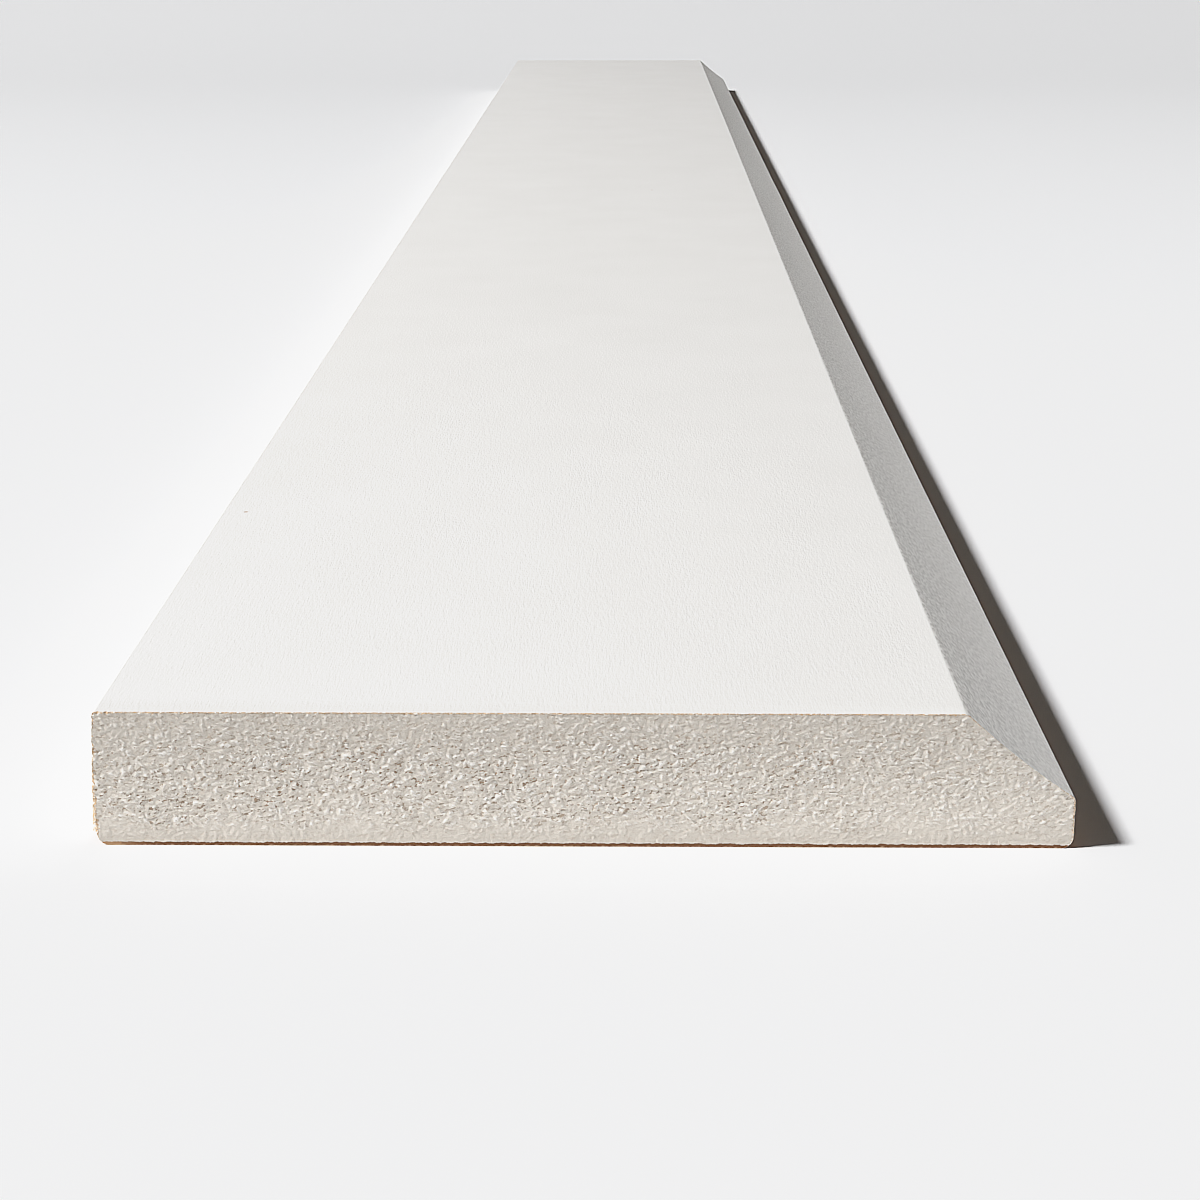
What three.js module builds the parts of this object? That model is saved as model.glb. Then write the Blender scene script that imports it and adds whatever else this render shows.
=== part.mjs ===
// A length of baseboard moulding, lying on its back with its face up.
// It is one plank of fibreboard, primed white: a flat face, a square edge that stands on the floor when
// it is fitted (-X), and a wide bevel along the edge that is then its top (+X). Both ends are sawn square.
// Millimetres, +Z up. The length runs along Y, and the origin is under the middle of the back.
import * as THREE from 'three';

const WIDTH = 110;
const THICKNESS = 16;
const LENGTH = 1000;
const BEVEL_ACROSS = 12.5;
const BEVEL_DEEP = 10;

// How far each long arris is rounded. The two at the back are the softest.
const BACK_ROUND = 1.2;
const FLOOR_EDGE_ROUND = 0.4;
const BEVEL_TOP_ROUND = 1.2;
const BEVEL_FOOT_ROUND = 0.9;
const ARC_STEPS = 4;

const PRIMER = { color: 0xeceae6, roughness: 0.5, metalness: 0 };

// A closed outline through the corners, each rounded by an arc of its own radius.
// The corners run anticlockwise and each is { x, y, round }.
function roundedOutline(corners) {
  const outline = new THREE.Shape();
  corners.forEach((corner, index) => {
    const before = corners[(index + corners.length - 1) % corners.length];
    const after = corners[(index + 1) % corners.length];
    const here = new THREE.Vector2(corner.x, corner.y);
    const back = new THREE.Vector2(before.x, before.y).sub(here).normalize();
    const ahead = new THREE.Vector2(after.x, after.y).sub(here).normalize();
    const halfAngle = Math.acos(back.dot(ahead)) / 2;
    const inwards = back.clone().add(ahead).normalize();
    const centre = here.addScaledVector(inwards, corner.round / Math.sin(halfAngle));
    // The arc starts square to the side it comes from and ends square to the side it goes to.
    const start = Math.atan2(back.x, -back.y);
    const end = Math.atan2(-ahead.x, ahead.y);
    outline.absarc(centre.x, centre.y, corner.round, start, end, false);
  });
  outline.closePath();
  return outline;
}

// The section of the board: X across the face, Y up from the back.
function boardSection() {
  const side = WIDTH / 2;
  return roundedOutline([
    { x: -side, y: 0, round: BACK_ROUND },
    { x: side, y: 0, round: BACK_ROUND },
    { x: side, y: THICKNESS - BEVEL_DEEP, round: BEVEL_FOOT_ROUND },
    { x: side - BEVEL_ACROSS, y: THICKNESS, round: BEVEL_TOP_ROUND },
    { x: -side, y: THICKNESS, round: FLOOR_EDGE_ROUND },
  ]);
}

// The section is drawn upright and extruded, then turned to run along Y with its middle at the origin.
function makeBoard() {
  const geometry = new THREE.ExtrudeGeometry(boardSection(), {
    depth: LENGTH,
    bevelEnabled: false,
    curveSegments: ARC_STEPS,
  });
  geometry.rotateX(Math.PI / 2);
  geometry.translate(0, LENGTH / 2, 0);
  const board = new THREE.Mesh(geometry, new THREE.MeshStandardMaterial(PRIMER));
  board.name = 'baseboard';
  return board;
}

const model = new THREE.Group();
model.add(makeBoard());

export default model;
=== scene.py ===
import math

import bpy
import numpy as np
from mathutils import Matrix, Vector


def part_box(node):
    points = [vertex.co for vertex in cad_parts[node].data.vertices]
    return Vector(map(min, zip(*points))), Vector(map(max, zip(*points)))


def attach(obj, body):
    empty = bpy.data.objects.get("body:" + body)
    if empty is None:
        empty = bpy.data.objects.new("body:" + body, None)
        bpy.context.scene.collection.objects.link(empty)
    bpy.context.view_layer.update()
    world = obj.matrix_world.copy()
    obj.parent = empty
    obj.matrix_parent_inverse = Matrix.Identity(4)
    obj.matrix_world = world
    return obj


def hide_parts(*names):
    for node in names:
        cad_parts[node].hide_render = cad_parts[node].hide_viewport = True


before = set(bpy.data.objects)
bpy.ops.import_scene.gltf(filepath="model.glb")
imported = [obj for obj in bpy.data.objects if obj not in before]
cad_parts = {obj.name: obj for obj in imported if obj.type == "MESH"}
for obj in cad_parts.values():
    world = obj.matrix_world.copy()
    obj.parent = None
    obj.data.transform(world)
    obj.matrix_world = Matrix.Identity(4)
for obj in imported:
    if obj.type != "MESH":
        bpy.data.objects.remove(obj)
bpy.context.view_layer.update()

# The board is one length of baseboard moulding, cut from a single plank of medium-density fibreboard.
# It is planed square, its top edge is machined to a wide bevel, and every long arris is eased.
# It lies on its back, with the bevel along +X and the edge that stands on the floor along -X.
MM = 0.001
low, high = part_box("baseboard")
thick = high.z - low.z
half_width = (high.x - low.x) / 2
half_length = (high.y - low.y) / 2
bevel_across = 12.5 * MM
bevel_deep = 10 * MM
bevel_slope = math.atan2(bevel_deep, bevel_across)
bevel_top = Vector((half_width - bevel_across, 0, thick))
bevel_out = Vector((math.sin(bevel_slope), 0, math.cos(bevel_slope)))
bevel_long = math.hypot(bevel_across, bevel_deep)
bevel_hollow = 0.34 * MM
bevel_strips = 10
back_round = 1.2 * MM
floor_edge_round = 0.4 * MM
bevel_top_round = 1.2 * MM
bevel_foot_round = 0.9 * MM
arris_steps = 6


def everything():
    bpy.ops.mesh.select_all(action="SELECT")


def select_faces(piece, wanted):
    """Leaves edit mode, selects the faces that wanted(centre) picks, and goes back."""
    bpy.ops.object.mode_set(mode="OBJECT")
    piece.data.polygons.foreach_set("select", [bool(wanted(face.center)) for face in piece.data.polygons])
    bpy.ops.object.mode_set(mode="EDIT")


def ease_arris(piece, x, z, corner, radius):
    """Rounds the long arris at x, z, where two sides meet at this inside angle."""
    bpy.ops.mesh.select_all(action="DESELECT")
    bpy.ops.object.mode_set(mode="OBJECT")
    points = piece.data.vertices
    near = 0.05 * MM
    for edge in piece.data.edges:
        middle = (points[edge.vertices[0]].co + points[edge.vertices[1]].co) / 2
        edge.select = abs(middle.x - x) < near and abs(middle.z - z) < near and abs(middle.y) < near
    bpy.ops.object.mode_set(mode="EDIT")
    set_back = radius / math.tan(corner / 2)
    bpy.ops.mesh.bevel(offset_type="OFFSET", offset=set_back, segments=arris_steps, affect="EDGES")


bpy.ops.object.select_all(action="DESELECT")
bpy.ops.mesh.primitive_cube_add(size=1, location=(low + high) / 2, scale=high - low)
board = bpy.context.object
board.name = board.data.name = "primed_board"
bpy.ops.object.transform_apply(location=True, rotation=True, scale=True)
bpy.ops.object.mode_set(mode="EDIT")
bpy.ops.mesh.select_mode(type="FACE")
everything()
bpy.ops.mesh.bisect(plane_co=bevel_top, plane_no=bevel_out, use_fill=True, clear_outer=True)
bpy.ops.mesh.select_mode(type="EDGE")
square = math.pi / 2
ease_arris(board, -half_width, 0, square, back_round)
ease_arris(board, half_width, 0, square, back_round)
ease_arris(board, -half_width, thick, square, floor_edge_round)
ease_arris(board, bevel_top.x, thick, math.pi - bevel_slope, bevel_top_round)
ease_arris(board, half_width, thick - bevel_deep, square + bevel_slope, bevel_foot_round)
bpy.ops.mesh.select_mode(type="FACE")
for strip in range(1, bevel_strips):
    strip_edge = bevel_top.x + bevel_across * strip / bevel_strips
    everything()
    bpy.ops.mesh.bisect(plane_co=(strip_edge, 0, 0), plane_no=(1, 0, 0))

# Both ends are sawn across. The saw leaves the pressed skins at the face and the back fairly smooth and
# tears the loose fibre between them, so the ends are cut into small squares that can take that relief.
# The cuts run a little way back along the sides too, for the crumbled arris.
near_pitch = 0.152 * MM
far_pitch = 0.42 * MM
near_steps_back = [0.14 * MM, 0.30 * MM, 0.50 * MM, 0.80 * MM, 1.3 * MM, 2.2 * MM]
far_steps_back = [0.35 * MM, 0.90 * MM, 2.2 * MM]
plain_beyond = 5 * MM


def cut_end(piece, way, pitch, steps_back):
    """Cuts one end, and the last of the sides, into squares of this pitch. way is -1 near and 1 far."""
    for back in steps_back + [plain_beyond]:
        everything()
        bpy.ops.mesh.bisect(plane_co=(0, way * (half_length - back), 0), plane_no=(0, 1, 0))
    worked = half_length - steps_back[-1]
    select_faces(piece, lambda centre: centre.y * way > worked)
    bpy.ops.mesh.hide(unselected=True)
    across = round(2 * half_width / pitch)
    for step in range(1, across):
        cut = -half_width + 2 * half_width * step / across
        everything()
        bpy.ops.mesh.bisect(plane_co=(cut, 0, 0), plane_no=(1, 0, 0))
    up = round(thick / pitch)
    for step in range(1, up):
        everything()
        bpy.ops.mesh.bisect(plane_co=(0, 0, thick * step / up), plane_no=(0, 0, 1))
    everything()
    bpy.ops.mesh.remove_doubles(threshold=pitch / 8)
    bpy.ops.mesh.reveal()


cut_end(board, -1, near_pitch, near_steps_back)
cut_end(board, 1, far_pitch, far_steps_back)
bpy.ops.object.mode_set(mode="OBJECT")

# The torn fibre is worked out as a depth over each end, in metres below the saw's plane. It is made of
# leaning grains in several sizes, pits where a clump of fibre came away, and short cracks.
field_step = 0.05 * MM
field_wide = 2400
field_high = 480


def grains(seed, across, along, lean, spread=0.28):
    """A field of grains this far apart across and along their lean. Its mean is 0 and its spread 1."""
    noise = np.random.default_rng(seed).standard_normal((field_high, field_wide))
    right = np.fft.rfftfreq(field_wide, field_step)[None, :]
    up = np.fft.fftfreq(field_high, field_step)[:, None]
    cos, sin = math.cos(math.radians(lean)), math.sin(math.radians(lean))
    rate = np.hypot((right * cos + up * sin) * along, (up * cos - right * sin) * across)
    band = np.exp(-((rate - 1) ** 2) / (2 * spread**2))
    field = np.fft.irfft2(np.fft.rfft2(noise) * band, s=noise.shape)
    return (field - field.mean()) / field.std()


def read_field(field, x, z):
    """The field's value at each x, z, between its four nearest samples. It repeats past its edge."""
    right, up = x / field_step, z / field_step
    i, j = np.floor(right).astype(int), np.floor(up).astype(int)
    a, b = right - i, up - j
    i0, i1 = i % field_wide, (i + 1) % field_wide
    j0, j1 = j % field_high, (j + 1) % field_high
    lower = field[j0, i0] * (1 - a) + field[j0, i1] * a
    upper = field[j1, i0] * (1 - a) + field[j1, i1] * a
    return lower * (1 - b) + upper * b


def ramp(value, start, end):
    share = np.clip((value - start) / (end - start), 0, 1)
    return share * share * (3 - 2 * share)


def looseness(x, z, seed):
    """How loose the fibre is: 0 in the pressed skins, about 1 in the middle, less towards the bevel."""
    patches = read_field(grains(seed, 9 * MM, 14 * MM, 20), x, z)
    above_back_skin = ramp(z + 0.45 * MM * patches, 1.2 * MM, 3.6 * MM)
    below_face_skin = 1 - ramp(z + 0.6 * MM * patches, 11.3 * MM, 14.6 * MM)
    core = above_back_skin * below_face_skin
    middle = 1 - 0.40 * ramp(x, 64 * MM, 98 * MM)
    return np.clip(core * middle * (1 + 0.16 * patches), 0, 1.2)


def dips(x, z, seed, count, loose, short, long, deepest, bend=0.0):
    """Pits or cracks at random places, most where the fibre is loose. Each is a smooth dip on a lean."""
    draw = np.random.default_rng(seed)
    depth = np.zeros_like(x)
    for _ in range(count):
        place = draw.integers(len(x))
        wide = draw.uniform(*short) * MM
        stretch = draw.uniform(*long) * MM
        lean = math.radians(draw.normal(24, 20))
        deep = draw.uniform(0.4, 1) * deepest
        curve = draw.normal(0, 1) * bend
        if draw.uniform() > loose[place]:
            continue
        dx, dz = x - x[place], z - z[place]
        near = (np.abs(dx) < 2.5 * stretch) & (np.abs(dz) < 2.5 * stretch)
        u = dx[near] * math.cos(lean) + dz[near] * math.sin(lean)
        v = dz[near] * math.cos(lean) - dx[near] * math.sin(lean)
        v = v - curve * u * u / stretch
        dip = deep * np.exp(-((u / stretch) ** 4) - (v / wide) ** 2)
        depth[near] = np.maximum(depth[near], dip)
    return depth


def torn_fibre(x, z, seed):
    """What the saw leaves at each place on an end. It returns four values: the depth below the saw's
    plane, how far the place lies in a pit or crease, where brown fibre and painted shade go, how coarse
    the fibre is, and how strong a painted highlight its tip gets."""
    loose = looseness(x, z, seed)
    wander_x = 0.12 * MM * read_field(grains(seed + 1, 3 * MM, 4 * MM, 0), x, z)
    wander_z = 0.12 * MM * read_field(grains(seed + 2, 3 * MM, 4 * MM, 0), x, z)
    u, v = x + wander_x, z + wander_z
    lumps = read_field(grains(seed + 3, 1.6 * MM, 3.2 * MM, 24), u, v)
    torn = read_field(grains(seed + 4, 0.80 * MM, 2.0 * MM, 18, 0.4), u, v)
    tufts = np.abs(read_field(grains(seed + 5, 0.68 * MM, 1.7 * MM, 28, 0.40), u, v))
    fine = np.abs(read_field(grains(seed + 6, 0.42 * MM, 1.1 * MM, 30, 0.40), u, v))
    granules = 1.6 - 0.85 * tufts - 1.15 * fine
    depth = 0.014 * MM * lumps * loose
    depth += 0.018 * MM * torn * loose
    near_face = ramp(z, 5 * MM, 14 * MM)
    granule_share = 0.52 + 0.24 * near_face * (1 - loose) + 0.48 * loose
    depth += 0.058 * MM * granules * granule_share
    pits = dips(x, z, seed + 7, 320, loose, (0.08, 0.12), (0.12, 0.30), 0.09 * MM)
    cracks = dips(x, z, seed + 8, 200, loose, (0.07, 0.09), (0.3, 0.9), 0.06 * MM, bend=0.35)
    hole = np.maximum(pits, cracks)
    # Pits, cracks and creases get brown fibre with painted shade on top of it.
    cavity = 0.5 * ramp(hole / MM, 0.01, 0.07) + 0.4 * ramp(granules, 0.8, 1.6) * (0.35 + 0.65 * loose)
    rough = loose + 0.5 * ramp(z, 8 * MM, 14 * MM) * (1 - loose)
    # The crests of the grains get a painted highlight: the finish draws them whiter, as if lit.
    tip_highlight = ramp(-granules, 0.1, 1.9) * (0.55 + 0.45 * loose) * ramp(z, 0.8 * MM, 3 * MM)
    return depth + hole, np.clip(cavity, 0, 1), rough, tip_highlight


# Besides its place, each point of the board keeps what the finishes read: cavity, in a pit or crease,
# where brown fibre and painted shade go; bare, broken primer; coarse, loose fibre; gap_shade, painted
# shade from the gap under an end's foot; greyer_top_and_foot, greyer towards an end's top and foot;
# painted_highlight, a painted highlight on a tip.
points = np.empty(len(board.data.vertices) * 3)
board.data.vertices.foreach_get("co", points)
points = points.reshape(-1, 3)
cavity = np.zeros(len(points))
bare = np.zeros(len(points))
coarse = np.zeros(len(points))
gap_shade = np.zeros(len(points))
greyer_top_and_foot = np.zeros(len(points))
painted_highlight = np.zeros(len(points))

# The bevel's cutter leaves it very slightly hollow, deepest half way across.
hollow_reach = 1.5 * MM
beyond_top = points[:, 0] - bevel_top.x
above_face = points[:, 2] - thick
across_bevel = beyond_top * math.cos(bevel_slope) - above_face * math.sin(bevel_slope)
share_across = np.clip(across_bevel / bevel_long, 0, 1)
under_bevel = bevel_out.dot(bevel_top) - points @ np.array(bevel_out)
sink = bevel_hollow * 4 * share_across * (1 - share_across) * np.clip(1 - under_bevel / hollow_reach, 0, 1)
points -= sink[:, None] * np.array(bevel_out)

# The edge that stands on the floor is a little out of square, wider at the back than at the face.
out_at_back = 0.65 * MM
in_at_face = 0.4 * MM
lean_reach = 4 * MM
near_edge = np.clip(1 - (points[:, 0] + half_width) / lean_reach, 0, 1)
inwards = in_at_face * points[:, 2] / thick
outwards = out_at_back * (1 - points[:, 2] / thick)
points[:, 0] += near_edge * (inwards - outwards)

sides_out = np.array([(-1, 0, 0), (1, 0, 0), (0, 0, -1), (0, 0, 1), tuple(bevel_out)], float)
sides_at = np.array([half_width, half_width, 0, thick, bevel_out.dot(bevel_top)])


# At each end the two corners on the back are worn rounder than along the board, and the upper corner of
# the floor edge has been knocked, so more of its arris is lost.
worn_corner = 1.5 * MM
worn_reach = 2.2 * MM
knock_reach = 1.6 * MM
knock_more = 2.5


def crumble(end, way, amounts, ragged, seed):
    """Breaks the arris round an end back by these amounts: floor edge, top edge, back, face and bevel.
    It returns how broken each point is, its depth inside the sides and its distance from the end."""
    back = half_length - points[end, 1] * way
    x, z = points[end, 0], points[end, 2]
    inside = sides_at[None, :] - points[end] @ sides_out.T
    share = np.exp(-np.maximum(inside, 0) / (0.3 * MM))
    share /= share.sum(1, keepdims=True)
    depth_in = inside.min(1)
    nibble = read_field(grains(seed, 0.42 * MM, 0.60 * MM, 0, 0.4), x, z)
    bite = read_field(grains(seed + 1, 2.4 * MM, 3.4 * MM, 0, 0.4), x, z)
    uneven = 1 - 0.7 * share[:, 2]
    loss = (share @ np.array(amounts)) * np.clip(1 + (ragged * nibble + 0.35 * bite) * uneven, 0.05, 3)
    knocked = np.exp(-(x + half_width) / knock_reach - (thick - z) / knock_reach)
    loss = loss * (1 + knock_more * knocked)
    over = np.clip(loss - back - depth_in, 0, None)
    inward = -(share @ sides_out)
    inward /= np.linalg.norm(inward, axis=1, keepdims=True)
    points[end, 0] += inward[:, 0] * over * 0.5
    points[end, 2] += inward[:, 2] * over * 0.5
    points[end, 1] -= way * over * 0.5
    fade = np.clip(1 - back / worn_reach, 0, 1)
    for side in (-1, 1):
        dx = points[end, 0] * side - (half_width - worn_corner)
        dz = worn_corner - points[end, 2]
        reach = np.hypot(dx, dz)
        pull = 1 - (1 - worn_corner / np.maximum(reach, worn_corner)) * fade
        round_it = (dx > 0) & (dz > 0)
        points[end[round_it], 0] = side * (half_width - worn_corner + (dx * pull)[round_it])
        points[end[round_it], 2] = worn_corner - (dz * pull)[round_it]
    return ramp(over, 0.0, 0.06 * MM), depth_in, back


def saw_end(way, seed, steps_back, amounts, ragged):
    """Gives the end that faces way its torn fibre and its crumbled arris, and fills in the masks there."""
    end = np.flatnonzero(points[:, 1] * way > half_length - steps_back[-1] - 0.01 * MM)
    face = points[end, 1] * way > half_length - 0.001 * MM
    x, z = points[end, 0] + half_width, points[end, 2]
    depth, hollow, coarse[end], tip_highlight = torn_fibre(x, z, seed)
    level = np.percentile(depth[face], 2)
    depth = np.clip(depth - level, 0, None)
    lost, depth_in, back = crumble(end, way, amounts, ragged, seed + 20)
    settle = ramp(depth_in, 0, 0.25 * MM) * 0.8 + 0.2
    points[end[face], 1] -= way * (depth * settle)[face]
    # Pits and creases, for brown fibre with painted shade.
    cavity[end[face]] = (hollow * settle)[face]
    # How strongly each tip is drawn whiter, a painted highlight.
    painted_highlight[end[face]] = (tip_highlight * settle)[face]
    # Greyer towards the end's top and, less, towards its foot.
    greyer_top_and_foot[end] = 2.0 * ramp(z, 5 * MM, thick) + 1.4 * (1 - ramp(z, 0.5 * MM, 3.5 * MM))
    bare[end] = np.maximum(lost, np.exp(-(np.maximum(back, depth_in) / (0.15 * MM)) ** 2))
    # Painted shade from the gap under the end's foot: darker along the end, lighter by the left corner
    # where the light gets in, and only within about 3 mm of the end.
    gap_shade[end] = ramp(x, 1 * MM, 6 * MM) * ramp(3 * MM - back, 0, 2 * MM)


near_loss = [0.20 * MM, 0.22 * MM, 0.02 * MM, 0.10 * MM, 0.12 * MM]
far_loss = [0.14 * MM, 0.20 * MM, 0.14 * MM, 0.12 * MM, 0.14 * MM]
saw_end(-1, 11, near_steps_back, near_loss, 0.55)
saw_end(1, 61, far_steps_back, far_loss, 0.4)
board.data.vertices.foreach_set("co", points.ravel())
masks = {
    "cavity": cavity,
    "bare": bare,
    "coarse": coarse,
    "gap_shade": gap_shade,
    "greyer_top_and_foot": greyer_top_and_foot,
    "painted_highlight": painted_highlight,
}
for name, values in masks.items():
    board.data.attributes.new(name, "FLOAT", "POINT").data.foreach_set("value", values)
board.data.update()

# The sides wear a coat of white water-based primer, sprayed on and sanded along the length, so it is
# satin with very fine streaks. The sawn ends show the fibre itself under a thin, pale wash of primer.
sand_streak = 0.30 * MM

# Heights in the brown rim along the foot of an end. The rim is brown fibre with a painted contact shadow,
# darkest at its top and palest at the very foot. A noise shifts all of them down by up to rim_ragged.
rim_top = 0.63 * MM
rim_full = 0.57 * MM
rim_ragged = 0.38 * MM
rim_shade_from = 0.10 * MM
rim_shade_full = 0.32 * MM


def group_socket(group, name, out, kind="NodeSocketFloat", value=None):
    socket = group.interface.new_socket(name, in_out="OUTPUT" if out else "INPUT", socket_type=kind)
    if value is not None:
        socket.default_value = value


def node(tree, kind, **values):
    """A node with these settings. A value named after an input, with _ for spaces, goes on that input."""
    made = tree.nodes.new(kind)
    for name, value in values.items():
        if hasattr(made, name):
            setattr(made, name, value)
        else:
            made.inputs[name.replace("_", " ")].default_value = value
    return made


def build_broken_arris():
    """Tan fibre, in flecks, where the primer has broken away along an arris."""
    group = bpy.data.node_groups.new("broken_arris", "ShaderNodeTree")
    group_socket(group, "Colour", False, "NodeSocketColor", (0.8, 0.8, 0.8, 1))
    group_socket(group, "Fibre", False, "NodeSocketColor", (0.5, 0.33, 0.2, 1))
    group_socket(group, "Amount", False, value=0.7)
    group_socket(group, "Colour", True, "NodeSocketColor")
    enter = node(group, "NodeGroupInput")
    leave = node(group, "NodeGroupOutput")
    place = node(group, "ShaderNodeTexCoord")
    worn = node(group, "ShaderNodeAttribute", attribute_name="bare")
    flecks = node(group, "ShaderNodeTexNoise", Scale=3.2 / MM, Detail=2.0, Roughness=0.6)
    range_ = node(group, "ShaderNodeMapRange", From_Min=0.34, From_Max=0.52)
    amount = node(group, "ShaderNodeMath", operation="MULTIPLY")
    share = node(group, "ShaderNodeMath", operation="MULTIPLY")
    mix = node(group, "ShaderNodeMix", data_type="RGBA")
    link = group.links.new
    link(place.outputs["Object"], flecks.inputs["Vector"])
    link(flecks.outputs["Fac"], range_.inputs["Value"])
    link(range_.outputs["Result"], amount.inputs[0])
    link(enter.outputs["Amount"], amount.inputs[1])
    link(amount.outputs[0], share.inputs[0])
    link(worn.outputs["Fac"], share.inputs[1])
    link(share.outputs[0], mix.inputs["Factor"])
    link(enter.outputs["Colour"], mix.inputs[6])
    link(enter.outputs["Fibre"], mix.inputs[7])
    link(mix.outputs[2], leave.inputs["Colour"])
    return group


broken_arris = build_broken_arris()


def new_material(name, specular, roughness):
    material = bpy.data.materials.new(name)
    material.use_nodes = True
    shader = material.node_tree.nodes["Principled BSDF"]
    shader.inputs["Specular IOR Level"].default_value = specular
    shader.inputs["Roughness"].default_value = roughness
    return material, material.node_tree, shader


def make_primer(name, relief, stippled, mottled):
    """White primer, faintly clouded, with sanding streaks along the length, a fine stipple and rare flecks
    of dark fibre. Where it is mottled, as on the bevel, grey specks are drawn out along the length; they
    thin out towards the bevel's foot, so the bevel is drawn darker by its upper arris, a painted shade."""
    material, tree, shader = new_material(name, 0.5, 0.5)
    link = tree.links.new
    place = node(tree, "ShaderNodeTexCoord")
    lengthwise = node(tree, "ShaderNodeMapping", vector_type="POINT", Scale=(1, 0.16, 1))
    clouds = node(tree, "ShaderNodeTexNoise", Scale=0.05 / MM, Detail=3.0)
    streaks = node(tree, "ShaderNodeTexNoise", Scale=1 / sand_streak, Detail=3.0, Roughness=0.65)
    stipple = node(tree, "ShaderNodeTexNoise", Scale=1.4 / MM, Detail=2.0)
    drawn_out = node(tree, "ShaderNodeMapping", vector_type="POINT", Scale=(1, 0.4, 1))
    specks = node(tree, "ShaderNodeTexNoise", Scale=2.2 / MM, Detail=2.0)
    mottle = node(tree, "ShaderNodeMapRange", From_Min=0.34, From_Max=0.66, To_Max=mottled)
    # Painted shade: the grey specks are densest by the bevel's upper arris and thin out towards its foot,
    # so the bevel is drawn darker along its top.
    across = node(tree, "ShaderNodeSeparateXYZ")
    painted_shade_across = node(tree, "ShaderNodeMapRange", To_Min=1.25, To_Max=0.45)
    painted_shade_across.inputs["From Min"].default_value = bevel_top.x
    painted_shade_across.inputs["From Max"].default_value = half_width
    specks_and_painted_shade = node(tree, "ShaderNodeMath", operation="MULTIPLY", use_clamp=True)
    dull = node(tree, "ShaderNodeMix", data_type="RGBA")
    dull.inputs[7].default_value = (0.60, 0.59, 0.57, 1)
    tone = node(tree, "ShaderNodeMix", data_type="RGBA")
    tone.inputs[6].default_value = (0.88, 0.87, 0.85, 1)
    tone.inputs[7].default_value = (0.93, 0.922, 0.905, 1)
    sheen = node(tree, "ShaderNodeMapRange", To_Min=0.32, To_Max=0.52)
    height = node(tree, "ShaderNodeMath", operation="MULTIPLY_ADD")
    height.inputs[1].default_value = stippled
    bump = node(tree, "ShaderNodeBump", Strength=1.0, Distance=relief)
    far_apart = node(tree, "ShaderNodeTexVoronoi", Scale=0.022 / MM)
    fleck = node(tree, "ShaderNodeMapRange", From_Min=0.009, From_Max=0.005, To_Max=0.6)
    flecked = node(tree, "ShaderNodeMix", data_type="RGBA")
    flecked.inputs[7].default_value = (0.42, 0.26, 0.14, 1)
    arris = node(tree, "ShaderNodeGroup", node_tree=broken_arris)
    arris.inputs["Fibre"].default_value = (0.54, 0.36, 0.21, 1)
    arris.inputs["Amount"].default_value = 0.85
    link(place.outputs["Object"], lengthwise.inputs["Vector"])
    link(lengthwise.outputs["Vector"], streaks.inputs["Vector"])
    link(place.outputs["Object"], clouds.inputs["Vector"])
    link(place.outputs["Object"], stipple.inputs["Vector"])
    link(clouds.outputs["Fac"], tone.inputs["Factor"])
    link(tone.outputs[2], dull.inputs[6])
    link(place.outputs["Object"], drawn_out.inputs["Vector"])
    link(drawn_out.outputs["Vector"], specks.inputs["Vector"])
    link(specks.outputs["Fac"], mottle.inputs["Value"])
    link(place.outputs["Object"], across.inputs["Vector"])
    link(across.outputs["X"], painted_shade_across.inputs["Value"])
    link(mottle.outputs["Result"], specks_and_painted_shade.inputs[0])
    link(painted_shade_across.outputs["Result"], specks_and_painted_shade.inputs[1])
    link(specks_and_painted_shade.outputs[0], dull.inputs["Factor"])
    link(place.outputs["Object"], far_apart.inputs["Vector"])
    link(far_apart.outputs["Distance"], fleck.inputs["Value"])
    link(fleck.outputs["Result"], flecked.inputs["Factor"])
    link(dull.outputs[2], flecked.inputs[6])
    link(flecked.outputs[2], arris.inputs["Colour"])
    link(arris.outputs["Colour"], shader.inputs["Base Color"])
    link(streaks.outputs["Fac"], sheen.inputs["Value"])
    link(sheen.outputs["Result"], shader.inputs["Roughness"])
    link(stipple.outputs["Fac"], height.inputs[0])
    link(streaks.outputs["Fac"], height.inputs[2])
    link(height.outputs[0], bump.inputs["Height"])
    link(bump.outputs["Normal"], shader.inputs["Normal"])
    return material


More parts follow.
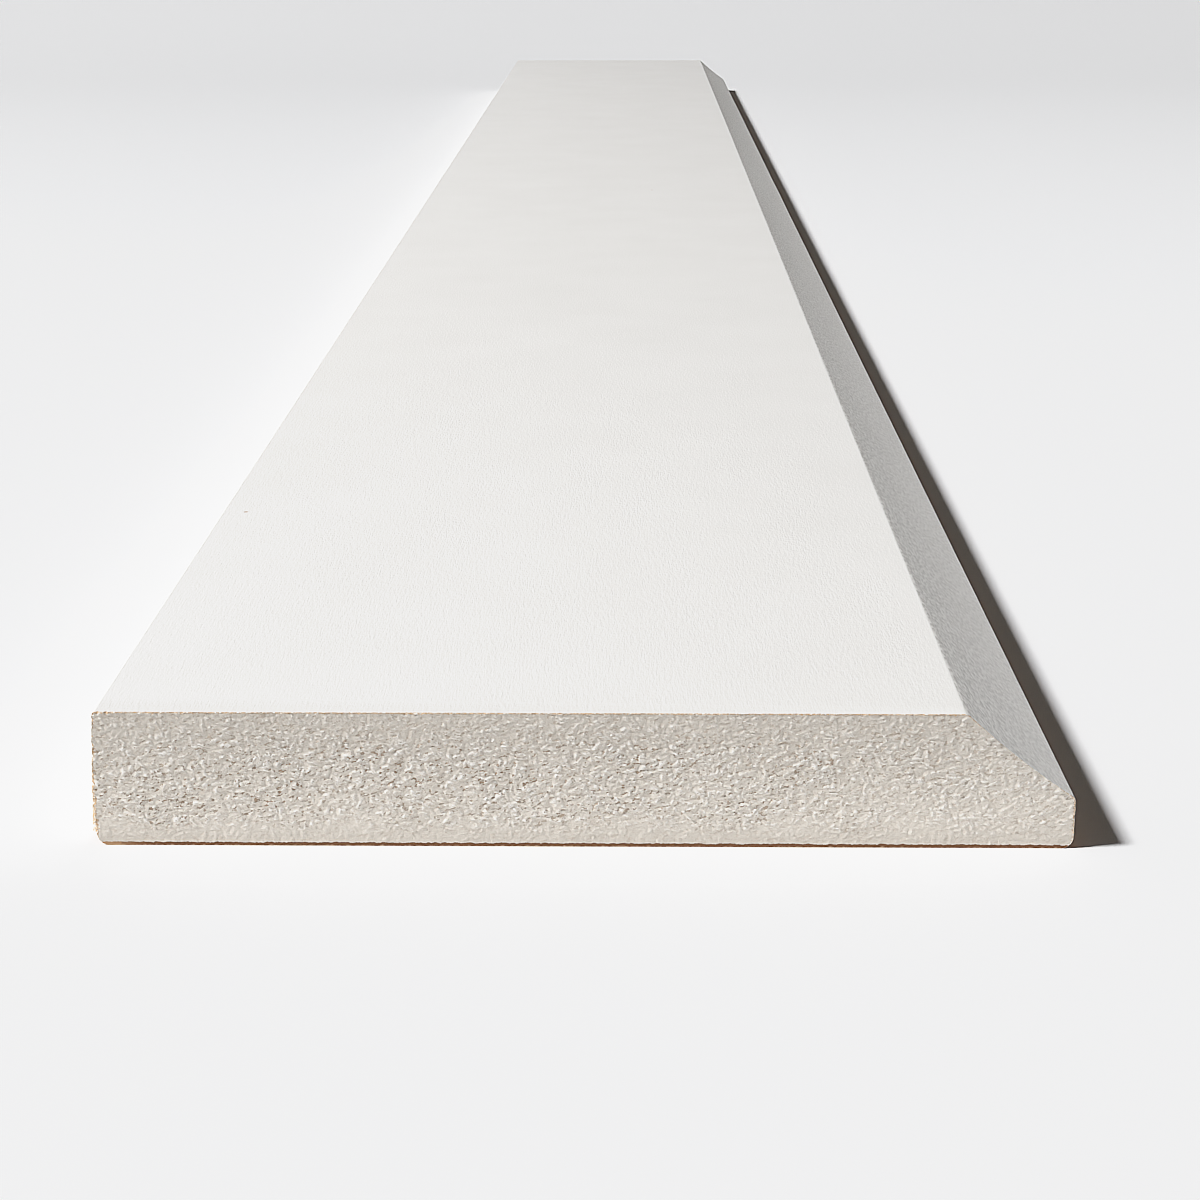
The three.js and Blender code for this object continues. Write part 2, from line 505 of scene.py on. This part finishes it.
def make_sawn_fibre():
    """The sawn end: pale, warm grey fibre, greyer towards the top and at the foot, drawn whiter at its
    tips as a painted highlight, and brown in its pits, pores and creases, brown fibre with painted shade,
    with a grain too fine to be cut. A ragged brown rim follows its lowest edge: brown fibre with a painted
    contact shadow, darkest at its top and palest at the very foot, and painted shade from the gap below,
    lighter by the left corner."""
    material, tree, shader = new_material("sawn_fibre", 0.35, 0.6)
    link = tree.links.new
    place = node(tree, "ShaderNodeTexCoord")
    leaning = node(tree, "ShaderNodeMapping", vector_type="TEXTURE", Scale=(1.9, 1, 1))
    leaning.inputs["Rotation"].default_value = (0, math.radians(-16), 0)
    patches = node(tree, "ShaderNodeTexNoise", Scale=0.16 / MM, Detail=4.0, Roughness=0.6)
    tone = node(tree, "ShaderNodeMix", data_type="RGBA")
    tone.inputs[6].default_value = (0.735, 0.685, 0.617, 1)
    tone.inputs[7].default_value = (0.815, 0.763, 0.69, 1)
    # Greyer towards the top of the end and at its foot.
    greyer_bands = node(tree, "ShaderNodeAttribute", attribute_name="greyer_top_and_foot")
    greyer_share = node(tree, "ShaderNodeMath", operation="MULTIPLY")
    greyer_share.inputs[1].default_value = 0.12
    greyer = node(tree, "ShaderNodeMix", data_type="RGBA")
    greyer.inputs[7].default_value = (0.30, 0.27, 0.235, 1)
    # Painted highlight: the tips of the grains are drawn nearly white, as if lit.
    tip_highlight = node(tree, "ShaderNodeAttribute", attribute_name="painted_highlight")
    highlight_share = node(tree, "ShaderNodeMath", operation="MULTIPLY")
    highlight_share.inputs[1].default_value = 0.7
    painted_highlight_mix = node(tree, "ShaderNodeMix", data_type="RGBA")
    painted_highlight_mix.inputs[7].default_value = (0.97, 0.955, 0.93, 1)
    # Pits, pores and creases: brown fibre with painted shade.
    hollow = node(tree, "ShaderNodeAttribute", attribute_name="cavity")
    pit_brown_and_shade = node(tree, "ShaderNodeMix", data_type="RGBA")
    pit_brown_and_shade.inputs[7].default_value = (0.37, 0.26, 0.17, 1)
    reach = node(tree, "ShaderNodeMath", operation="MULTIPLY")
    reach.inputs[1].default_value = 0.7
    loose = node(tree, "ShaderNodeAttribute", attribute_name="coarse")
    pores = node(tree, "ShaderNodeTexNoise", Scale=3.4 / MM, Detail=1.0, Roughness=0.5)
    pore = node(tree, "ShaderNodeMapRange", From_Min=0.60, From_Max=0.68)
    pore_here = node(tree, "ShaderNodeMath", operation="MULTIPLY")
    in_pore = node(tree, "ShaderNodeMath", operation="MAXIMUM")
    crease = node(tree, "ShaderNodeMapRange", From_Min=0.34, From_Max=0.20, To_Max=0.28)
    creased = node(tree, "ShaderNodeMath", operation="MAXIMUM")
    arris = node(tree, "ShaderNodeGroup", node_tree=broken_arris)
    arris.inputs["Fibre"].default_value = (0.54, 0.36, 0.21, 1)
    arris.inputs["Amount"].default_value = 0.85
    grit = node(tree, "ShaderNodeTexNoise", Scale=2.4 / MM, Detail=3.0, Roughness=0.66)
    clumps = node(tree, "ShaderNodeTexVoronoi", Scale=2.6 / MM)
    heap = node(tree, "ShaderNodeMath", operation="MULTIPLY_ADD")
    heap.inputs[1].default_value = -0.25
    strong = node(tree, "ShaderNodeMath", operation="MULTIPLY_ADD")
    strong.inputs[1].default_value = 1.25
    strong.inputs[2].default_value = 1.0
    gritty = node(tree, "ShaderNodeMath", operation="MULTIPLY")
    # The rim along the foot: painted contact shadow over brown fibre, darkest at its top and palest at the
    # very foot.
    split = node(tree, "ShaderNodeSeparateXYZ")
    ragged = node(tree, "ShaderNodeTexNoise", Scale=1.6 / MM, Detail=3.0)
    up = node(tree, "ShaderNodeMath", operation="MULTIPLY_ADD")
    up.inputs[1].default_value = rim_ragged
    skin = node(tree, "ShaderNodeMapRange", From_Min=rim_top, From_Max=rim_full)
    rim_shade = node(tree, "ShaderNodeMapRange", From_Min=rim_shade_from, From_Max=rim_shade_full)
    # Painted shade from the gap under the foot: dark brown along the end, tan by the left corner where the
    # light gets in.
    ends = node(tree, "ShaderNodeAttribute", attribute_name="gap_shade")
    gap_shade_mix = node(tree, "ShaderNodeMix", data_type="RGBA")
    gap_shade_mix.inputs[6].default_value = (0.44, 0.28, 0.16, 1)
    gap_shade_mix.inputs[7].default_value = (0.20, 0.10, 0.052, 1)
    rim_painted_shade = node(tree, "ShaderNodeMix", data_type="RGBA")
    rim_painted_shade.inputs[6].default_value = (0.66, 0.52, 0.39, 1)
    edged = node(tree, "ShaderNodeMix", data_type="RGBA")
    height = node(tree, "ShaderNodeMath", operation="MULTIPLY_ADD")
    height.inputs[1].default_value = -0.55
    bump = node(tree, "ShaderNodeBump", Strength=1.0, Distance=0.07 * MM)
    link(place.outputs["Object"], patches.inputs["Vector"])
    link(place.outputs["Object"], leaning.inputs["Vector"])
    link(leaning.outputs["Vector"], grit.inputs["Vector"])
    link(leaning.outputs["Vector"], pores.inputs["Vector"])
    link(patches.outputs["Fac"], tone.inputs["Factor"])
    link(tone.outputs[2], greyer.inputs[6])
    link(greyer_bands.outputs["Fac"], greyer_share.inputs[0])
    link(greyer_share.outputs[0], greyer.inputs["Factor"])
    link(greyer.outputs[2], painted_highlight_mix.inputs[6])
    link(tip_highlight.outputs["Fac"], highlight_share.inputs[0])
    link(highlight_share.outputs[0], painted_highlight_mix.inputs["Factor"])
    link(painted_highlight_mix.outputs[2], pit_brown_and_shade.inputs[6])
    link(pores.outputs["Fac"], pore.inputs["Value"])
    link(pore.outputs["Result"], pore_here.inputs[0])
    link(loose.outputs["Fac"], pore_here.inputs[1])
    link(hollow.outputs["Fac"], in_pore.inputs[0])
    link(pore_here.outputs[0], in_pore.inputs[1])
    link(in_pore.outputs[0], creased.inputs[0])
    link(crease.outputs["Result"], creased.inputs[1])
    link(creased.outputs[0], reach.inputs[0])
    link(reach.outputs[0], pit_brown_and_shade.inputs["Factor"])
    link(pit_brown_and_shade.outputs[2], arris.inputs["Colour"])
    link(place.outputs["Object"], split.inputs["Vector"])
    link(place.outputs["Object"], ragged.inputs["Vector"])
    link(ragged.outputs["Fac"], up.inputs[0])
    link(split.outputs["Z"], up.inputs[2])
    link(up.outputs[0], skin.inputs["Value"])
    link(up.outputs[0], rim_shade.inputs["Value"])
    link(ends.outputs["Fac"], gap_shade_mix.inputs["Factor"])
    link(rim_shade.outputs["Result"], rim_painted_shade.inputs["Factor"])
    link(gap_shade_mix.outputs[2], rim_painted_shade.inputs[7])
    link(skin.outputs["Result"], edged.inputs["Factor"])
    link(arris.outputs["Colour"], edged.inputs[6])
    link(rim_painted_shade.outputs[2], edged.inputs[7])
    link(edged.outputs[2], shader.inputs["Base Color"])
    link(loose.outputs["Fac"], strong.inputs[0])
    link(leaning.outputs["Vector"], clumps.inputs["Vector"])
    link(clumps.outputs["Distance"], heap.inputs[0])
    link(grit.outputs["Fac"], heap.inputs[2])
    link(heap.outputs[0], gritty.inputs[0])
    link(heap.outputs[0], crease.inputs["Value"])
    link(strong.outputs[0], gritty.inputs[1])
    link(pore_here.outputs[0], height.inputs[0])
    link(gritty.outputs[0], height.inputs[2])
    link(height.outputs[0], bump.inputs["Height"])
    link(bump.outputs["Normal"], shader.inputs["Normal"])
    return material


def make_raw_back():
    """The back has no primer: brown sanded fibreboard, with short pale and dark fibres."""
    material, tree, shader = new_material("raw_back", 0.3, 0.75)
    link = tree.links.new
    place = node(tree, "ShaderNodeTexCoord")
    clouds = node(tree, "ShaderNodeTexNoise", Scale=0.08 / MM, Detail=4.0)
    fibres = node(tree, "ShaderNodeTexNoise", Scale=1.1 / MM, Detail=3.0, Roughness=0.7)
    blend = node(tree, "ShaderNodeMath", operation="MULTIPLY_ADD")
    blend.inputs[1].default_value = 0.5
    tone = node(tree, "ShaderNodeMix", data_type="RGBA")
    tone.inputs[6].default_value = (0.38, 0.20, 0.08, 1)
    tone.inputs[7].default_value = (0.58, 0.35, 0.17, 1)
    # Painted shade from the gap under the foot: near the ends the back is drawn darker, except by the left
    # corner where the light gets in.
    ends = node(tree, "ShaderNodeAttribute", attribute_name="gap_shade")
    gap_shade_mix = node(tree, "ShaderNodeMix", data_type="RGBA")
    gap_shade_mix.inputs[7].default_value = (0.30, 0.115, 0.035, 1)
    bump = node(tree, "ShaderNodeBump", Strength=0.6, Distance=0.02 * MM)
    halve = node(tree, "ShaderNodeMath", operation="MULTIPLY")
    halve.inputs[1].default_value = 0.5
    link(place.outputs["Object"], clouds.inputs["Vector"])
    link(place.outputs["Object"], fibres.inputs["Vector"])
    link(fibres.outputs["Fac"], blend.inputs[0])
    link(clouds.outputs["Fac"], halve.inputs[0])
    link(halve.outputs[0], blend.inputs[2])
    link(blend.outputs[0], tone.inputs["Factor"])
    link(tone.outputs[2], gap_shade_mix.inputs[6])
    link(ends.outputs["Fac"], gap_shade_mix.inputs["Factor"])
    link(gap_shade_mix.outputs[2], shader.inputs["Base Color"])
    link(fibres.outputs["Fac"], bump.inputs["Height"])
    link(bump.outputs["Normal"], shader.inputs["Normal"])
    return material


def make_thin_primer():
    """The top edge caught only the primer's spray, a thin, uneven coat over brown fibre."""
    material, tree, shader = new_material("thin_primer", 0.35, 0.65)
    link = tree.links.new
    place = node(tree, "ShaderNodeTexCoord")
    lengthwise = node(tree, "ShaderNodeMapping", vector_type="POINT", Scale=(1, 0.3, 1))
    spray = node(tree, "ShaderNodeTexNoise", Scale=0.9 / MM, Detail=4.0, Roughness=0.65)
    tone = node(tree, "ShaderNodeMix", data_type="RGBA")
    tone.inputs[6].default_value = (0.14, 0.08, 0.04, 1)
    tone.inputs[7].default_value = (0.30, 0.22, 0.145, 1)
    bump = node(tree, "ShaderNodeBump", Strength=1.0, Distance=0.06 * MM)
    link(place.outputs["Object"], lengthwise.inputs["Vector"])
    link(lengthwise.outputs["Vector"], spray.inputs["Vector"])
    link(spray.outputs["Fac"], tone.inputs["Factor"])
    link(tone.outputs[2], shader.inputs["Base Color"])
    link(spray.outputs["Fac"], bump.inputs["Height"])
    link(bump.outputs["Normal"], shader.inputs["Normal"])
    return material


finishes = [
    make_primer("white_primer", 0.040 * MM, 0.6, 0.0),
    make_sawn_fibre(),
    make_raw_back(),
    make_thin_primer(),
    make_primer("bevel_primer", 0.06 * MM, 2.0, 0.85),
]
for finish in finishes:
    board.data.materials.append(finish)


def finish_of(face):
    """Which finish a face has, by where it lies and looks: 0 primed, 1 sawn, 2 raw, 3 thinly primed and
    4 the bevel. The back is raw part of the way up its rounds."""
    if abs(face.center.y) > half_length - 0.6 * MM and abs(face.normal.y) > 0.6:
        return 1
    if face.normal.z < -0.22 and face.center.z < back_round:
        return 2
    if face.normal.x > 0.985:
        return 3
    return 4 if 0.3 < face.normal.x < 0.72 else 0


board.data.polygons.foreach_set("material_index", [finish_of(face) for face in board.data.polygons])
bpy.ops.object.select_all(action="DESELECT")
board.select_set(True)
bpy.context.view_layer.objects.active = board
bpy.ops.object.shade_smooth_by_angle(angle=math.radians(50))
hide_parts("baseboard")
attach(board, "root")

# The board lies on a wide sheet of white studio paper, lit by one square softbox from the left and a
# little to the camera's side. The room gives only a dim fill, so the shadow beyond the bevel is dark.
# Beyond the far end the paper curves up, so it fills the picture.
floor_reach = 12
sweep_from = 0.55
sweep_round = 1.6
sweep_far = 1.25
sweep_cuts = 14
sweep_pitch = 0.05
bpy.ops.mesh.primitive_plane_add(size=1, location=(0, 0, 0))
paper = bpy.context.object
bpy.ops.object.mode_set(mode="EDIT")
bpy.ops.transform.resize(value=(2 * floor_reach, 2 * floor_reach, 1))
bpy.ops.mesh.bisect(plane_co=(0, sweep_far, 0), plane_no=(0, 1, 0), clear_outer=True)
for step in range(sweep_cuts):
    everything()
    bpy.ops.mesh.bisect(plane_co=(0, sweep_from + sweep_pitch * step, 0), plane_no=(0, 1, 0))
bpy.ops.object.mode_set(mode="OBJECT")
for point in paper.data.vertices:
    run = max(0, point.co.y - sweep_from)
    point.co.z = run * run / (2 * sweep_round)
bpy.ops.object.shade_smooth()
paper.name = paper.data.name = "studio_floor"


def make_paper():
    material, tree, shader = new_material("studio_paper", 0.1, 0.9)
    link = tree.links.new
    place = node(tree, "ShaderNodeTexCoord")
    fleece = node(tree, "ShaderNodeTexNoise", Scale=0.9 / MM, Detail=3.0)
    bump = node(tree, "ShaderNodeBump", Strength=0.12, Distance=0.02 * MM)
    shader.inputs["Base Color"].default_value = (0.872, 0.879, 0.892, 1)
    link(place.outputs["Object"], fleece.inputs["Vector"])
    link(fleece.outputs["Fac"], bump.inputs["Height"])
    link(bump.outputs["Normal"], shader.inputs["Normal"])
    return material


paper.data.materials.append(make_paper())

near_end = Vector((0, -half_length, 0))
key_height = math.radians(42.4)
key_turn = math.radians(10)
key_distance = 14
key_size = 2.3
key_watts = 160
key_spread = math.radians(43)
key_aim = Vector((0, -half_length - 0.5, 0))
key_way = Vector((
    -math.cos(key_height) * math.cos(key_turn),
    -math.cos(key_height) * math.sin(key_turn),
    math.sin(key_height),
))
bpy.ops.object.light_add(type="AREA", location=near_end + key_way * key_distance)
key = bpy.context.object
key.name = "softbox"
key.data.size = key_size
key.data.energy = key_watts
key.data.spread = key_spread
key.rotation_euler = (key.location - key_aim).to_track_quat("Z", "Y").to_euler()
key.visible_camera = False


def make_room():
    """Pale walls low down all round, with a long low window beyond the bevel, and a dark ceiling."""
    room = bpy.data.worlds.new("room")
    room.use_nodes = True
    tree = room.node_tree
    link = tree.links.new
    place = node(tree, "ShaderNodeTexCoord")
    split = node(tree, "ShaderNodeSeparateXYZ")
    height = node(tree, "ShaderNodeMapRange", From_Min=0.10, From_Max=0.28)
    height.interpolation_type = "SMOOTHSTEP"
    low_down = node(tree, "ShaderNodeMapRange", From_Min=0.10, From_Max=0.05)
    beyond = node(tree, "ShaderNodeMath", operation="MULTIPLY", use_clamp=True)
    bright = node(tree, "ShaderNodeMath", operation="MULTIPLY_ADD")
    bright.inputs[1].default_value = 12.4
    bright.inputs[2].default_value = 1.0
    walls = node(tree, "ShaderNodeMix", data_type="RGBA")
    walls.inputs[6].default_value = (0.85, 0.84, 0.82, 1)
    walls.inputs[7].default_value = (0.030, 0.025, 0.021, 1)
    link(place.outputs["Generated"], split.inputs["Vector"])
    link(split.outputs["Z"], height.inputs["Value"])
    link(split.outputs["Z"], low_down.inputs["Value"])
    link(split.outputs["X"], beyond.inputs[0])
    link(low_down.outputs["Result"], beyond.inputs[1])
    link(beyond.outputs[0], bright.inputs[0])
    link(height.outputs["Result"], walls.inputs["Factor"])
    link(walls.outputs[2], tree.nodes["Background"].inputs["Color"])
    link(bright.outputs[0], tree.nodes["Background"].inputs["Strength"])
    return room


bpy.context.scene.world = make_room()

# The tones stay straight up to a pale grey, and then bend over softly, so that white primer on white
# paper keeps its detail.
view = bpy.context.scene.view_settings
view.view_transform = "Standard"
view.use_curve_mapping = True
view.curve_mapping.clip_max_x = 2
view.curve_mapping.clip_max_y = 2
shoulder = view.curve_mapping.curves[3]
shoulder.points[1].location = (1.6, 0.985)
for bright_in, bright_out in ((0.84, 0.84), (1.0, 0.915), (1.2, 0.955)):
    shoulder.points.new(bright_in, bright_out)
for point in shoulder.points:
    point.handle_type = "VECTOR"
view.curve_mapping.update()

# The picture gets the light sharpening that a camera gives. It is done in print tones and turned back,
# because in plain light it would draw hard black lines.
print_gamma = 2.2
sharpening = 0.16
bpy.context.scene.use_nodes = True
development = bpy.context.scene.node_tree
development.nodes.clear()
taken = development.nodes.new("CompositorNodeRLayers")
to_print_tones = development.nodes.new("CompositorNodeGamma")
to_print_tones.inputs["Gamma"].default_value = 1 / print_gamma
back_to_light = development.nodes.new("CompositorNodeGamma")
back_to_light.inputs["Gamma"].default_value = print_gamma
sharpen = development.nodes.new("CompositorNodeFilter")
sharpen.filter_type = "SHARPEN"
sharpen.inputs["Fac"].default_value = sharpening
printed = development.nodes.new("CompositorNodeComposite")
development.links.new(taken.outputs["Image"], to_print_tones.inputs["Image"])
development.links.new(to_print_tones.outputs["Image"], sharpen.inputs["Image"])
development.links.new(sharpen.outputs["Image"], back_to_light.inputs["Image"])
development.links.new(back_to_light.outputs["Image"], printed.inputs["Image"])

# The camera is a portrait-length lens a short way in front of the near end, looking down on it.
camera_place = Vector((4.96, -735.53, 103.02)) * MM
look_down = math.radians(17.41)
look_left = math.radians(0.752)
roll = math.radians(-0.097)
bpy.ops.object.camera_add()
camera = bpy.context.object
camera.name = "camera"
camera.data.sensor_width = 36
camera.data.lens = 68.06
camera.data.clip_start = 0.01
camera.data.clip_end = 100
camera.data.dof.use_dof = False
turned = (
    Matrix.Rotation(look_left, 4, "Z")
    @ Matrix.Rotation(math.pi / 2 - look_down, 4, "X")
    @ Matrix.Rotation(roll, 4, "Z")
)
camera.matrix_world = Matrix.Translation(camera_place) @ turned
bpy.context.scene.camera = camera
